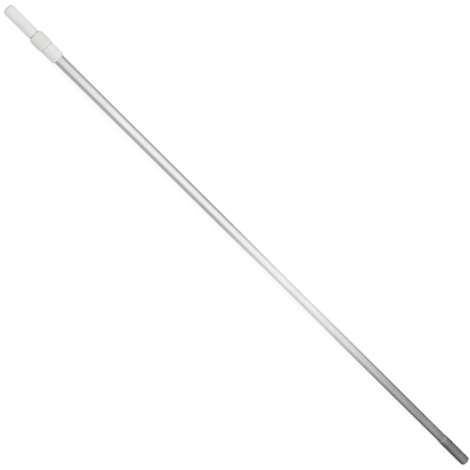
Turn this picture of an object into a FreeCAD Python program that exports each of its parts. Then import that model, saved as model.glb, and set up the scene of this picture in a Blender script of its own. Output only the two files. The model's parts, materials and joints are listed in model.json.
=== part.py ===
"""Two-section telescopic extension pole with a twist lock, a hand grip and a tool socket.

Every piece is built about the local Z axis, called the pole axis here, with z = 0 at the lock end of
the outer tube and z growing towards the hand grip.  to_row_frame() then lays the pole along X: the
mouth of the tool socket is at the origin, +X points out of it, and local X becomes row +Z.
Lengths are in millimetres.
"""

import FreeCAD
import Part

import math
import os

from FreeCAD import Vector

# ---- fits and clearances ------------------------------------------------------------------------
RUN_GAP = 0.10          # radial gap of a tube running in a bush or collet
FREE_GAP = 0.30         # gap between pieces that pass without guiding each other
TUBE_GAP = 0.80         # radial space between the two tubes, filled by the bush and the guide ring
SCREW_TIP_GAP = 0.25    # from a ferrule screw's tip to the bore of the guide bush
OVERCUT = 1.0           # how far a cutting tool runs past the face it opens

# ---- outer tube and tool socket -----------------------------------------------------------------
OUTER_LENGTH = 1800.0   # whole tube, mouth of the socket to lock end
OUTER_DIAMETER = 28.6
OUTER_WALL = 1.0
SOCKET_STEP = 1.575     # the socket's gain in radius over the tube
SOCKET_DEPTH = 120.0
SWAGE_LENGTH = 2.0      # shoulder from the socket down to the tube
CLIP_HOLE_DIAMETER = 6.6
FIRST_CLIP_HOLE = 17.5  # hole centre, measured from the mouth
CLIP_HOLE_SPACING = 76.2
TUBE_EDGE = 0.3         # chamfer on cut tube ends

# ---- inner tube ---------------------------------------------------------------------------------
INNER_WALL = 1.0
TAIL_CLEARANCE = 18.0   # from the swage to the inner section's tail, pole closed

# ---- guide bush in the outer tube's lock end ----------------------------------------------------
BUSH_LENGTH = 80.0
BUSH_FLANGE = 1.5

# ---- ferrule ------------------------------------------------------------------------------------
SKIRT_LENGTH = 34.8     # on the outer tube
SKIRT_WALL = 3.8
SKIRT_ROUND = 1.6       # rounding at the skirt's foot
COLLAR_STEP = 0.4       # the collar's gain in radius over the skirt
COLLAR_LENGTH = 23.3    # thicker band under the shoulder
SHOULDER_THICKNESS = 5.7  # above the bush's flange
SHOULDER_CHAMFER = 0.8
NECK_LENGTH = 28.0      # threaded neck
NECK_RIM = 1.3          # wall of the neck at the seat's mouth, down to the thread root
NECK_CHAMFER = 0.6

# ---- lock thread --------------------------------------------------------------------------------
THREAD_PITCH = 4.0
THREAD_HEIGHT = 1.1
THREAD_FLARE = 0.8      # a ridge's width at its root, less its width at its crest
THREAD_SIDE_GAP = 0.3   # between the flanks of the two ridges
THREAD_CREST_GAP = 0.25
THREAD_EMBED = 0.25     # how far a ridge is rooted in its own wall
THREAD_LEAD_IN = 4.5    # plain neck between the shoulder and the thread
THREAD_LEAD_OUT = 3.6   # plain neck between the thread and the lug notches

# ---- collet -------------------------------------------------------------------------------------
SEAT_FLARE = 2.3        # the seat's gain in radius from its foot to its mouth
SEAT_HALF_ANGLE = 9.0   # degrees
SEAT_GAP = 0.25         # between the collet's cone and its seat, on the radius
NOSE_WALL = 0.75        # collet wall at its thin end
COLLET_LIFT = 0.6       # collet flange above the neck's end
COLLET_FLANGE = 3.4
COLLET_FLANGE_STEP = 0.5   # the flange's gain in radius over the seat's mouth
COLLET_SLOTS = 6
COLLET_SLOT_WIDTH = 1.6
COLLET_SPLIT_WIDTH = 2.4
COLLET_WEB = 1.2        # left between a slot's end and the flange
LUG_WIDTH = 4.0
LUG_LENGTH = 3.4
LUG_SIDE_GAP = 0.3
LUG_ANGLES = (30.0, 210.0)   # degrees about the pole axis, between the slots

# ---- lock nut -----------------------------------------------------------------------------------
NUT_GAP = 0.4           # nut to ferrule shoulder, lock tight
NUT_WALL = 1.95         # from the thread root to the plain band
RIB_HEIGHT = 0.6
NUT_BAND_LENGTH = 6.0   # plain band below the ribs
NUT_CORNER = 0.6        # end of the ribs, below the shoulder inside
NUT_NOSE_LENGTH = 9.8   # conical front
NUT_NOSE_WALL = 2.8
NUT_EDGE = 0.8
NUT_FLUTES = 18
FIRST_FLUTE = 6.0       # degrees about the pole axis, from local X, lock tight
FLUTE_RADIUS = 7.5      # leaves narrow crests between the flutes
SHOULDER_PLAY = 0.10    # collet flange to nut shoulder
CHAMBER_HEIGHT = 2.0
UNLOCK_TURN = 120.0     # degrees that the nut turns back to release the tube

# ---- hand grip ----------------------------------------------------------------------------------
GRIP_STOP_GAP = 0.4     # nut nose to grip when the nut is fully open
GRIP_WALL = 2.6
GRIP_LENGTH = 91.0
GRIP_CROWN = 5.2        # height of the domed end
GRIP_EDGE = 3.0         # rounding round the dome
GRIP_END_WALL = 3.6
GRIP_FOOT_ROUND = 1.0

# ---- plugs and guide ring -----------------------------------------------------------------------
HEAD_PLUG_FLANGE = 2.0
HEAD_PLUG_LENGTH = 18.0
PLUG_WALL = 2.0
PLUG_RELIEF = 0.35      # depth between the head plug's ribs
HEAD_PLUG_RIBS = 5
TAIL_FLANGE = 3.0
TAIL_FLANGE_GAP = 0.35  # flange to outer tube bore, on the radius
TAIL_PLUG_LENGTH = 30.0
TAIL_CHAMFER = 0.8
RING_WIDTH = 6.0
RING_WALL = 1.5
RING_END_PLAY = 0.1
RING_BORE_GAP = 0.15
RING_SPLIT = 2.0
VENT_DIAMETER = 8.0
CRIMP_DEPTH = 0.6
CRIMP_WIDTH = 3.0
CRIMP_STATION = 14.0    # from the inner tube's tail end

# ---- self-tapping screws ------------------------------------------------------------------------
SCREW_SHANK = 2.9
SCREW_HEAD = 5.6
SCREW_HEAD_CONE = 1.5
SCREW_HEAD_SINK = 0.15  # below the surface it is driven into
SCREW_RECESS_WIDTH = 0.8
SCREW_RECESS_SPAN = 3.0
SCREW_RECESS_DEPTH = 1.0
FERRULE_SCREW_STATION = 10.0           # from the skirt's foot
FERRULE_SCREW_ANGLES = (36.0, 216.0)   # about the pole axis, from local X
GRIP_SCREW_STATION = 14.0              # from the grip's foot
GRIP_SCREW_ANGLE = 180.0
GRIP_SCREW_REACH = 2.2                 # past the inner tube's wall

# ---- derived sizes ------------------------------------------------------------------------------
OUTER_R = OUTER_DIAMETER / 2
OUTER_BORE_R = OUTER_R - OUTER_WALL
SOCKET_R = OUTER_R + SOCKET_STEP
SOCKET_BORE_R = SOCKET_R - OUTER_WALL
INNER_R = OUTER_BORE_R - TUBE_GAP
INNER_BORE_R = INNER_R - INNER_WALL
MOUTH_Z = -OUTER_LENGTH
SOCKET_TOP = MOUTH_Z + SOCKET_DEPTH
SWAGE_TOP = SOCKET_TOP + SWAGE_LENGTH

BUSH_BORE_R = INNER_R + RUN_GAP
PASS_R = INNER_R + FREE_GAP

SKIRT_R = OUTER_R + SKIRT_WALL
COLLAR_R = SKIRT_R + COLLAR_STEP
SKIRT_FOOT = -SKIRT_LENGTH
SHOULDER_Z = BUSH_FLANGE + SHOULDER_THICKNESS
COLLAR_FOOT = SHOULDER_Z - COLLAR_LENGTH
NECK_TOP = SHOULDER_Z + NECK_LENGTH
SEAT_MOUTH_R = PASS_R + SEAT_FLARE
NECK_R = SEAT_MOUTH_R + NECK_RIM

THREAD_CREST = (THREAD_PITCH - THREAD_FLARE) / 2 - THREAD_SIDE_GAP
THREAD_Z = SHOULDER_Z + THREAD_LEAD_IN
THREAD_TURNS = (NECK_LENGTH - THREAD_LEAD_IN - THREAD_LEAD_OUT - LUG_LENGTH) / THREAD_PITCH
NUT_ROOT_R = NECK_R + THREAD_HEIGHT + THREAD_CREST_GAP

SEAT_SLOPE = math.tan(math.radians(SEAT_HALF_ANGLE))
SEAT_FOOT_Z = NECK_TOP - SEAT_FLARE / SEAT_SLOPE
NOSE_R = BUSH_BORE_R + NOSE_WALL
NOSE_Z = NECK_TOP - (SEAT_MOUTH_R - SEAT_GAP - NOSE_R) / SEAT_SLOPE
COLLET_FLANGE_Z = NECK_TOP + COLLET_LIFT
COLLET_TOP = COLLET_FLANGE_Z + COLLET_FLANGE
COLLET_FLANGE_R = SEAT_MOUTH_R + COLLET_FLANGE_STEP

NUT_Z = SHOULDER_Z + NUT_GAP
NUT_BAND_R = NUT_ROOT_R + NUT_WALL
NUT_R = NUT_BAND_R + RIB_HEIGHT
NUT_SHOULDER_Z = COLLET_TOP + SHOULDER_PLAY
RIBS_FOOT = NUT_Z + NUT_BAND_LENGTH
RIBS_TOP = NUT_SHOULDER_Z - NUT_CORNER
NUT_TOP = RIBS_TOP + NUT_NOSE_LENGTH
UNLOCK_TRAVEL = THREAD_PITCH * UNLOCK_TURN / 360.0

GRIP_R = INNER_R + GRIP_WALL
GRIP_Z = NUT_TOP + UNLOCK_TRAVEL + GRIP_STOP_GAP
GRIP_TOP = GRIP_Z + GRIP_LENGTH
GRIP_BORE_TOP = GRIP_TOP - GRIP_CROWN - GRIP_END_WALL
INNER_TOP = GRIP_BORE_TOP - HEAD_PLUG_FLANGE

TAIL_Z = SWAGE_TOP + TAIL_CLEARANCE
RING_Z = TAIL_Z + TAIL_FLANGE + RING_END_PLAY
RING_R = OUTER_BORE_R - RUN_GAP
TAIL_FLANGE_R = OUTER_BORE_R - TAIL_FLANGE_GAP
GROOVE_R = RING_R - RING_WALL - RING_BORE_GAP
GROOVE_TOP = RING_Z + RING_WIDTH + RING_END_PLAY
INNER_TAIL = GROOVE_TOP + TAIL_FLANGE
EXTEND_TRAVEL = -BUSH_LENGTH - INNER_TAIL - FREE_GAP

FERRULE_SCREW_Z = SKIRT_FOOT + FERRULE_SCREW_STATION
FERRULE_SCREW_TIP_R = BUSH_BORE_R + SCREW_TIP_GAP
GRIP_SCREW_Z = GRIP_Z + GRIP_SCREW_STATION
GRIP_SCREW_TIP_R = INNER_BORE_R - GRIP_SCREW_REACH


def spin(points):
    """Solid of revolution about the pole axis from (radius, z) corners."""
    corners = [Vector(r, 0, z) for r, z in points]
    return turned_solid(Part.makePolygon(corners + corners[:1]).Edges)


def arc(centre_r, centre_z, radius, start, end):
    """Arc in the half-plane of a turned outline, between two angles from the radial direction."""
    points = [
        Vector(centre_r + radius * math.cos(angle), 0, centre_z + radius * math.sin(angle))
        for angle in (start, (start + end) / 2, end)
    ]
    return Part.Arc(*points).toShape()


def line(start, end):
    """Straight edge in the half-plane of a turned outline, between two (radius, z) corners."""
    return Part.LineSegment(Vector(start[0], 0, start[1]), Vector(end[0], 0, end[1])).toShape()


def turned_solid(outline):
    """Solid of revolution about the pole axis from the edges of a closed half outline."""
    face = Part.Face(Part.Wire(outline))
    return face.revolve(Vector(0, 0, 0), Vector(0, 0, 1), 360)


def cylinder(radius, low, high):
    """Cylinder on the pole axis between two heights."""
    return Part.makeCylinder(radius, high - low, Vector(0, 0, low))


def block(x0, x1, y0, y1, z0, z1):
    """Box between two corners."""
    return Part.makeBox(x1 - x0, y1 - y0, z1 - z0, Vector(x0, y0, z0))


def turned(shape, degrees):
    """Copy of a shape turned about the pole axis."""
    copy = shape.copy()
    copy.rotate(Vector(0, 0, 0), Vector(0, 0, 1), degrees)
    return copy


def to_row_frame(shape):
    """Lays a piece along X with the mouth of the socket at the origin."""
    placed = shape.copy()
    placed.rotate(Vector(0, 0, 0), Vector(0, 1, 0), -90)
    placed.translate(Vector(MOUTH_Z, 0, 0))
    return placed


def thread_ridge(root_r, outward, phase):
    """Trapezoidal right-hand ridge, rooted THREAD_EMBED deep in the wall at root_r."""
    side = 1 if outward else -1
    flank = THREAD_FLARE / 2 / THREAD_HEIGHT
    buried = THREAD_CREST / 2 + flank * (THREAD_HEIGHT + THREAD_EMBED)
    foot_r = root_r - side * THREAD_EMBED
    tip_r = root_r + side * THREAD_HEIGHT
    corners = [
        Vector(foot_r, 0, -buried),
        Vector(tip_r, 0, -THREAD_CREST / 2),
        Vector(tip_r, 0, THREAD_CREST / 2),
        Vector(foot_r, 0, buried),
    ]
    profile = Part.makePolygon(corners + corners[:1])
    helix = Part.makeHelix(THREAD_PITCH, THREAD_PITCH * THREAD_TURNS, root_r)
    sweep = Part.BRepOffsetAPI.MakePipeShell(Part.Wire(helix.Edges))
    sweep.setFrenetMode(True)
    sweep.add(profile)
    sweep.build()
    sweep.makeSolid()
    ridge = turned(sweep.shape(), phase)
    ridge.translate(Vector(0, 0, THREAD_Z))
    return ridge


def screw_body(surface_r, tip_r, angle, z, recess):
    """Countersunk screw driven towards the pole axis, its head just below surface_r."""
    head_r = surface_r - SCREW_HEAD_SINK
    cone = Part.makeCone(
        SCREW_HEAD / 2, SCREW_SHANK / 2, SCREW_HEAD_CONE, Vector(head_r, 0, 0), Vector(-1, 0, 0)
    )
    shank_start = head_r - SCREW_HEAD_CONE / 2
    shank = Part.makeCylinder(
        SCREW_SHANK / 2, shank_start - tip_r, Vector(shank_start, 0, 0), Vector(-1, 0, 0)
    )
    body = cone.fuse(shank).removeSplitter()
    if recess:
        half, span = SCREW_RECESS_WIDTH / 2, SCREW_RECESS_SPAN / 2
        floor_r = head_r - SCREW_RECESS_DEPTH
        top_r = head_r + OVERCUT
        cross = block(floor_r, top_r, -half, half, -span, span)
        body = body.cut(cross.fuse(block(floor_r, top_r, -span, span, -half, half)))
    body.translate(Vector(0, 0, z))
    return turned(body, angle)


def screw_hole(surface_r, tip_r, angle, z):
    """Space that a screw takes, with its countersink open to the outside."""
    entry = Part.makeCylinder(
        SCREW_HEAD / 2, OVERCUT, Vector(surface_r - SCREW_HEAD_SINK, 0, z), Vector(1, 0, 0)
    )
    return screw_body(surface_r, tip_r, angle, z, recess=False).fuse(turned(entry, angle))


def drill_for_ferrule_screws(shape):
    """Cuts the ferrule screws' holes in one of the pieces they hold."""
    for angle in FERRULE_SCREW_ANGLES:
        shape = shape.cut(screw_hole(SKIRT_R, FERRULE_SCREW_TIP_R, angle, FERRULE_SCREW_Z))
    return shape


def drill_for_grip_screw(shape):
    """Cuts the grip screw's hole in the grip or the inner tube."""
    return shape.cut(screw_hole(GRIP_R, GRIP_SCREW_TIP_R, GRIP_SCREW_ANGLE, GRIP_SCREW_Z))


def outer_tube():
    """Drawn tube whose far end is swaged out into the tool socket and cross-drilled for clips."""
    tube = spin([
        (SOCKET_BORE_R + TUBE_EDGE, MOUTH_Z),
        (SOCKET_R - TUBE_EDGE, MOUTH_Z),
        (SOCKET_R, MOUTH_Z + TUBE_EDGE),
        (SOCKET_R, SOCKET_TOP),
        (OUTER_R, SWAGE_TOP),
        (OUTER_R, 0),
        (OUTER_BORE_R, 0),
        (OUTER_BORE_R, SWAGE_TOP),
        (SOCKET_BORE_R, SOCKET_TOP),
        (SOCKET_BORE_R, MOUTH_Z + TUBE_EDGE),
    ])
    reach = SOCKET_R + OVERCUT
    for station in (FIRST_CLIP_HOLE, FIRST_CLIP_HOLE + CLIP_HOLE_SPACING):
        drill = Part.makeCylinder(
            CLIP_HOLE_DIAMETER / 2,
            2 * reach,
            Vector(-reach, 0, MOUTH_Z + station),
            Vector(1, 0, 0),
        )
        tube = tube.cut(drill)
    return drill_for_ferrule_screws(tube)


def guide_bush():
    """Flanged liner that guides the inner tube and stops its tail."""
    bush = spin([
        (BUSH_BORE_R, -BUSH_LENGTH),
        (OUTER_BORE_R, -BUSH_LENGTH),
        (OUTER_BORE_R, 0),
        (OUTER_R, 0),
        (OUTER_R, BUSH_FLANGE),
        (BUSH_BORE_R, BUSH_FLANGE),
    ])
    return drill_for_ferrule_screws(bush)


def ferrule():
    """Moulded collar on the outer tube: skirt, shoulder, threaded neck and collet seat."""
    outline = [
        line((OUTER_R, BUSH_FLANGE), (OUTER_R, SKIRT_FOOT)),
        line((OUTER_R, SKIRT_FOOT), (SKIRT_R - SKIRT_ROUND, SKIRT_FOOT)),
        arc(SKIRT_R - SKIRT_ROUND, SKIRT_FOOT + SKIRT_ROUND, SKIRT_ROUND, -math.pi / 2, 0),
    ]
    corners = [
        (SKIRT_R, SKIRT_FOOT + SKIRT_ROUND),
        (SKIRT_R, COLLAR_FOOT - COLLAR_STEP),
        (COLLAR_R, COLLAR_FOOT),
        (COLLAR_R, SHOULDER_Z - SHOULDER_CHAMFER),
        (COLLAR_R - SHOULDER_CHAMFER, SHOULDER_Z),
        (NECK_R, SHOULDER_Z),
        (NECK_R, NECK_TOP - NECK_CHAMFER),
        (NECK_R - NECK_CHAMFER, NECK_TOP),
        (SEAT_MOUTH_R, NECK_TOP),
        (PASS_R, SEAT_FOOT_Z),
        (PASS_R, BUSH_FLANGE),
        (OUTER_R, BUSH_FLANGE),
    ]
    outline += [line(start, end) for start, end in zip(corners, corners[1:])]
    body = turned_solid(outline)
    body = body.fuse(thread_ridge(NECK_R, True, 0))
    half = LUG_WIDTH / 2 + LUG_SIDE_GAP
    notch = block(
        PASS_R,
        NUT_ROOT_R,
        -half,
        half,
        NECK_TOP - LUG_LENGTH,
        NECK_TOP + OVERCUT,
    )
    for angle in LUG_ANGLES:
        body = body.cut(turned(notch, angle))
    return drill_for_ferrule_screws(body)


def collet():
    """Split ring whose cone is wedged into the ferrule by the nut, keyed so that it cannot turn."""
    ring = spin([
        (BUSH_BORE_R, NOSE_Z),
        (NOSE_R, NOSE_Z),
        (SEAT_MOUTH_R - SEAT_GAP, NECK_TOP),
        (SEAT_MOUTH_R - SEAT_GAP, COLLET_FLANGE_Z),
        (COLLET_FLANGE_R, COLLET_FLANGE_Z),
        (COLLET_FLANGE_R, COLLET_TOP),
        (BUSH_BORE_R, COLLET_TOP),
    ])
    half = LUG_WIDTH / 2
    lug = block(
        NOSE_R, COLLET_FLANGE_R, -half, half, COLLET_FLANGE_Z - LUG_LENGTH, COLLET_TOP - COLLET_WEB
    )
    rim = cylinder(COLLET_FLANGE_R, COLLET_FLANGE_Z - LUG_LENGTH, COLLET_TOP)
    for angle in LUG_ANGLES:
        ring = ring.fuse(turned(lug, angle).common(rim))
    for number in range(COLLET_SLOTS):
        is_split = number == 0
        width = COLLET_SPLIT_WIDTH if is_split else COLLET_SLOT_WIDTH
        top = COLLET_TOP + OVERCUT if is_split else COLLET_FLANGE_Z - COLLET_WEB
        slot = block(0, COLLET_FLANGE_R + OVERCUT, -width / 2, width / 2, NOSE_Z - OVERCUT, top)
        ring = ring.cut(turned(slot, number * 360 / COLLET_SLOTS))
    return ring.removeSplitter()


def lock_nut():
    """Ribbed nut with a conical nose, a threaded bore and the shoulder that pushes the collet."""
    chamber_floor = NUT_SHOULDER_Z - CHAMBER_HEIGHT
    chamber_r = COLLET_FLANGE_R + FREE_GAP
    nut = spin([
        (NUT_ROOT_R, NUT_Z),
        (NUT_BAND_R - NUT_EDGE, NUT_Z),
        (NUT_BAND_R, NUT_Z + NUT_EDGE),
        (NUT_BAND_R, RIBS_FOOT),
        (NUT_R, RIBS_FOOT + RIB_HEIGHT),
        (NUT_R, RIBS_TOP),
        (PASS_R + NUT_NOSE_WALL, NUT_TOP),
        (PASS_R, NUT_TOP),
        (PASS_R, NUT_SHOULDER_Z),
        (chamber_r, NUT_SHOULDER_Z),
        (chamber_r, chamber_floor),
        (NUT_ROOT_R, chamber_floor),
    ])
    flute = Part.makeCylinder(
        FLUTE_RADIUS, NUT_TOP - RIBS_FOOT, Vector(NUT_BAND_R + FLUTE_RADIUS, 0, RIBS_FOOT)
    )
    pitch = 360 / NUT_FLUTES
    flutes = [turned(flute, FIRST_FLUTE + number * pitch) for number in range(NUT_FLUTES)]
    nut = nut.cut(Part.makeCompound(flutes))
    return nut.fuse(thread_ridge(NUT_ROOT_R, False, 180))


def crimp(radius):
    """Corners of the rolled groove that locks the tail plug, on a wall of the given radius."""
    middle = INNER_TAIL + CRIMP_STATION
    half = CRIMP_WIDTH / 2
    return [
        (radius, middle - half),
        (radius - CRIMP_DEPTH, middle - half / 2),
        (radius - CRIMP_DEPTH, middle + half / 2),
        (radius, middle + half),
    ]


def inner_tube():
    """Sliding tube, rolled inwards near its tail to hold the tail plug."""
    outside = [(INNER_R, INNER_TAIL)] + crimp(INNER_R) + [(INNER_R, INNER_TOP)]
    inside = [(INNER_BORE_R, INNER_TAIL)] + crimp(INNER_BORE_R) + [(INNER_BORE_R, INNER_TOP)]
    return drill_for_grip_screw(spin(outside + inside[::-1]))


def tail_plug():
    """Vented plug in the inner tube's tail: two flanges with the guide ring's groove between."""
    vent_r = VENT_DIAMETER / 2
    plug_top = INNER_TAIL + TAIL_PLUG_LENGTH
    flanges = [
        (vent_r, TAIL_Z),
        (TAIL_FLANGE_R - TAIL_CHAMFER, TAIL_Z),
        (TAIL_FLANGE_R, TAIL_Z + TAIL_CHAMFER),
        (TAIL_FLANGE_R, TAIL_Z + TAIL_FLANGE),
        (GROOVE_R, TAIL_Z + TAIL_FLANGE),
        (GROOVE_R, GROOVE_TOP),
        (TAIL_FLANGE_R, GROOVE_TOP),
        (TAIL_FLANGE_R, INNER_TAIL),
    ]
    shank = [(INNER_BORE_R, INNER_TAIL)] + crimp(INNER_BORE_R) + [
        (INNER_BORE_R, plug_top - TAIL_CHAMFER),
        (INNER_BORE_R - TAIL_CHAMFER, plug_top),
        (vent_r, plug_top),
    ]
    return spin(flanges + shank)


def guide_ring():
    """Split ring that runs in the outer tube and turns freely on the tail plug."""
    ring = spin([
        (RING_R - RING_WALL, RING_Z),
        (RING_R, RING_Z),
        (RING_R, RING_Z + RING_WIDTH),
        (RING_R - RING_WALL, RING_Z + RING_WIDTH),
    ])
    half = RING_SPLIT / 2
    gap = block(0, RING_R + OVERCUT, -half, half, RING_Z - OVERCUT, RING_Z + RING_WIDTH + OVERCUT)
    return ring.cut(gap)


def head_plug():
    """Ribbed plug that closes the inner tube under the grip's end."""
    plug = spin([
        (INNER_BORE_R - PLUG_WALL, INNER_TOP - HEAD_PLUG_LENGTH),
        (INNER_BORE_R - PLUG_RELIEF, INNER_TOP - HEAD_PLUG_LENGTH),
        (INNER_BORE_R - PLUG_RELIEF, INNER_TOP),
        (INNER_R, INNER_TOP),
        (INNER_R, GRIP_BORE_TOP),
        (0, GRIP_BORE_TOP),
        (0, INNER_TOP - PLUG_WALL),
        (INNER_BORE_R - PLUG_WALL, INNER_TOP - PLUG_WALL),
    ])
    rib_pitch = HEAD_PLUG_LENGTH / HEAD_PLUG_RIBS
    for number in range(HEAD_PLUG_RIBS):
        low = INNER_TOP - (number + 1) * rib_pitch
        rib = spin([
            (INNER_BORE_R - PLUG_WALL, low),
            (INNER_BORE_R - PLUG_RELIEF, low),
            (INNER_BORE_R, low + rib_pitch / 2),
            (INNER_BORE_R - PLUG_RELIEF, low + rib_pitch),
            (INNER_BORE_R - PLUG_WALL, low + rib_pitch),
        ])
        plug = plug.fuse(rib)
    return plug.removeSplitter()


def hand_grip():
    """Moulded sleeve with a closed, domed end."""
    dome_r = (GRIP_R ** 2 + GRIP_CROWN ** 2) / (2 * GRIP_CROWN)
    dome_z = GRIP_TOP - dome_r
    edge_r = GRIP_R - GRIP_EDGE
    edge_z = dome_z + math.sqrt((dome_r - GRIP_EDGE) ** 2 - edge_r ** 2)
    meet = math.acos(edge_r / (dome_r - GRIP_EDGE))
    foot_r = GRIP_R - GRIP_FOOT_ROUND
    outline = [
        line((INNER_R, GRIP_Z), (foot_r, GRIP_Z)),
        arc(foot_r, GRIP_Z + GRIP_FOOT_ROUND, GRIP_FOOT_ROUND, -math.pi / 2, 0),
        line((GRIP_R, GRIP_Z + GRIP_FOOT_ROUND), (GRIP_R, edge_z)),
        arc(edge_r, edge_z, GRIP_EDGE, 0, meet),
        arc(0, dome_z, dome_r, meet, math.pi / 2),
        line((0, GRIP_TOP), (0, GRIP_BORE_TOP)),
        line((0, GRIP_BORE_TOP), (INNER_R, GRIP_BORE_TOP)),
        line((INNER_R, GRIP_BORE_TOP), (INNER_R, GRIP_Z)),
    ]
    return drill_for_grip_screw(turned_solid(outline))


def ferrule_screws():
    """The screws that pin the ferrule, the outer tube and the bush together."""
    return Part.makeCompound([
        screw_body(SKIRT_R, FERRULE_SCREW_TIP_R, angle, FERRULE_SCREW_Z, recess=True)
        for angle in FERRULE_SCREW_ANGLES
    ])


def grip_screw():
    """Screw that pins the hand grip to the inner tube."""
    return screw_body(GRIP_R, GRIP_SCREW_TIP_R, GRIP_SCREW_ANGLE, GRIP_SCREW_Z, recess=True)


def main():
    """Builds every piece and writes one STEP file for each."""
    pieces = {
        "outer_tube": outer_tube(),
        "guide_bush": guide_bush(),
        "ferrule": ferrule(),
        "ferrule_screws": ferrule_screws(),
        "collet": collet(),
        "lock_nut": lock_nut(),
        "guide_ring": guide_ring(),
        "inner_tube": inner_tube(),
        "tail_plug": tail_plug(),
        "head_plug": head_plug(),
        "hand_grip": hand_grip(),
        "grip_screw": grip_screw(),
    }
    os.makedirs("parts", exist_ok=True)
    for name, shape in pieces.items():
        placed = to_row_frame(shape)
        placed.exportStep(f"parts/{name}.step")
        box = placed.BoundBox
        print(
            f"{name}: {len(placed.Solids)} solid(s), valid {placed.isValid()},"
            f" {placed.Volume / 1000:.2f} cm3, x {box.XMin:.1f} to {box.XMax:.1f}"
        )
    print(f"extension travel {EXTEND_TRAVEL:.2f} mm, unlock travel {UNLOCK_TRAVEL:.2f} mm")


main()
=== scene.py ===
"""Studio scene of a telescopic extension pole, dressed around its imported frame.

The turned pieces that show (both tubes, the ferrule, the lock nut and the hand grip) are made again
as fine meshes by Geometry Nodes: a half outline swept round the pole's axis, with the nut's flutes
as a rule on top.  The small and hidden pieces keep their frame meshes and get better finishes.
Everything is in metres in the frame's own axes: the pole lies along X, the socket's mouth is at the
origin and the hand grip is towards -X.
"""

import json
import logging
import math
from dataclasses import dataclass, field
from enum import Enum
from typing import Any, Iterable, Sequence

import bmesh
import bpy
from mathutils import Matrix, Vector

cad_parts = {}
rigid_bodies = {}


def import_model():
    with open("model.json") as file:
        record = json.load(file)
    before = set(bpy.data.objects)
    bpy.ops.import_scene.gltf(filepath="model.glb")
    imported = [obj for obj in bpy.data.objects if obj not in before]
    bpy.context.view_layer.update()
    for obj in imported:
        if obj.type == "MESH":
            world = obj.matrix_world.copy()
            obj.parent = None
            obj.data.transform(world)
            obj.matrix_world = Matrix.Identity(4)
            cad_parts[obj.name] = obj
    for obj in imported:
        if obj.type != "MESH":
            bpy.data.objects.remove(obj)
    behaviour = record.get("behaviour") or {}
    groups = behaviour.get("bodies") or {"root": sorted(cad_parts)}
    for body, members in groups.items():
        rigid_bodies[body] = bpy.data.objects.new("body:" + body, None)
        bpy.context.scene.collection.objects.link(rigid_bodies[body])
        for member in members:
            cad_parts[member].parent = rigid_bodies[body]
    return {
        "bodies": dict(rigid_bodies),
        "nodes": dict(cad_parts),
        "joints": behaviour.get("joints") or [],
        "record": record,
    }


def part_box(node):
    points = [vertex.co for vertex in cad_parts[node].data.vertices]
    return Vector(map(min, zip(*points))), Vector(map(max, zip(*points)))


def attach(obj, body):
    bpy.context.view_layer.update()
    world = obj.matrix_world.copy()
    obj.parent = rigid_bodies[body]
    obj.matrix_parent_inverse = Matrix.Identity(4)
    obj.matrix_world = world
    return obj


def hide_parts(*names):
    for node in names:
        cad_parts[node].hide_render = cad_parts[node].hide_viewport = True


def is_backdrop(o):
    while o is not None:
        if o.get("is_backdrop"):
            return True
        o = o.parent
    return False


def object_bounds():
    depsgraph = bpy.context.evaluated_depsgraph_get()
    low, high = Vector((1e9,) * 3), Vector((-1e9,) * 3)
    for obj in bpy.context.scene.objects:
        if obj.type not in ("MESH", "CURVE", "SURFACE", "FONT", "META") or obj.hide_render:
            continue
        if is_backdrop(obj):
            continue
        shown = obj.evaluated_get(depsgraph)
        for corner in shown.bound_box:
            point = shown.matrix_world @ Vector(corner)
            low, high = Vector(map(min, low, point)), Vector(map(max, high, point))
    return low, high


LOG = logging.getLogger("pole_scene")

MM = 0.001
POLE_AXIS = Vector((1.0, 0.0, 0.0))
LATHE_ORIGIN_R = 0.05   # radius of the lathe's guide circle; outlines are drawn relative to it
HOLLOW = "hollow"       # attribute that is 1 in a flute's floor and 0 on plain surface

Pair = tuple[float, float]
Outline = list[Pair]
Corner = tuple[float, float, float]   # station, radius and rounding
Colour = tuple[float, float, float]
Socket = bpy.types.NodeSocket
Piece = bpy.types.Object
Material = bpy.types.Material


def put(name: str, data: Any) -> Piece:
    """Puts a new object in the scene.

    Args:
        name: the object's name.
        data: its mesh, curve, light or camera.

    Returns:
        The object.
    """
    holder = bpy.data.objects.new(name, data)
    bpy.context.scene.collection.objects.link(holder)
    return holder


class Slot(Enum):
    """Material slots of the record that a new piece can take its finish from."""

    TUBE = "anodised_tube"
    MOULDING = "white_moulding"
    BEARING = "bearing_plastic"
    PLUG = "plug_plastic"
    STEEL = "screw_steel"


# -------------------- node helpers


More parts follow.
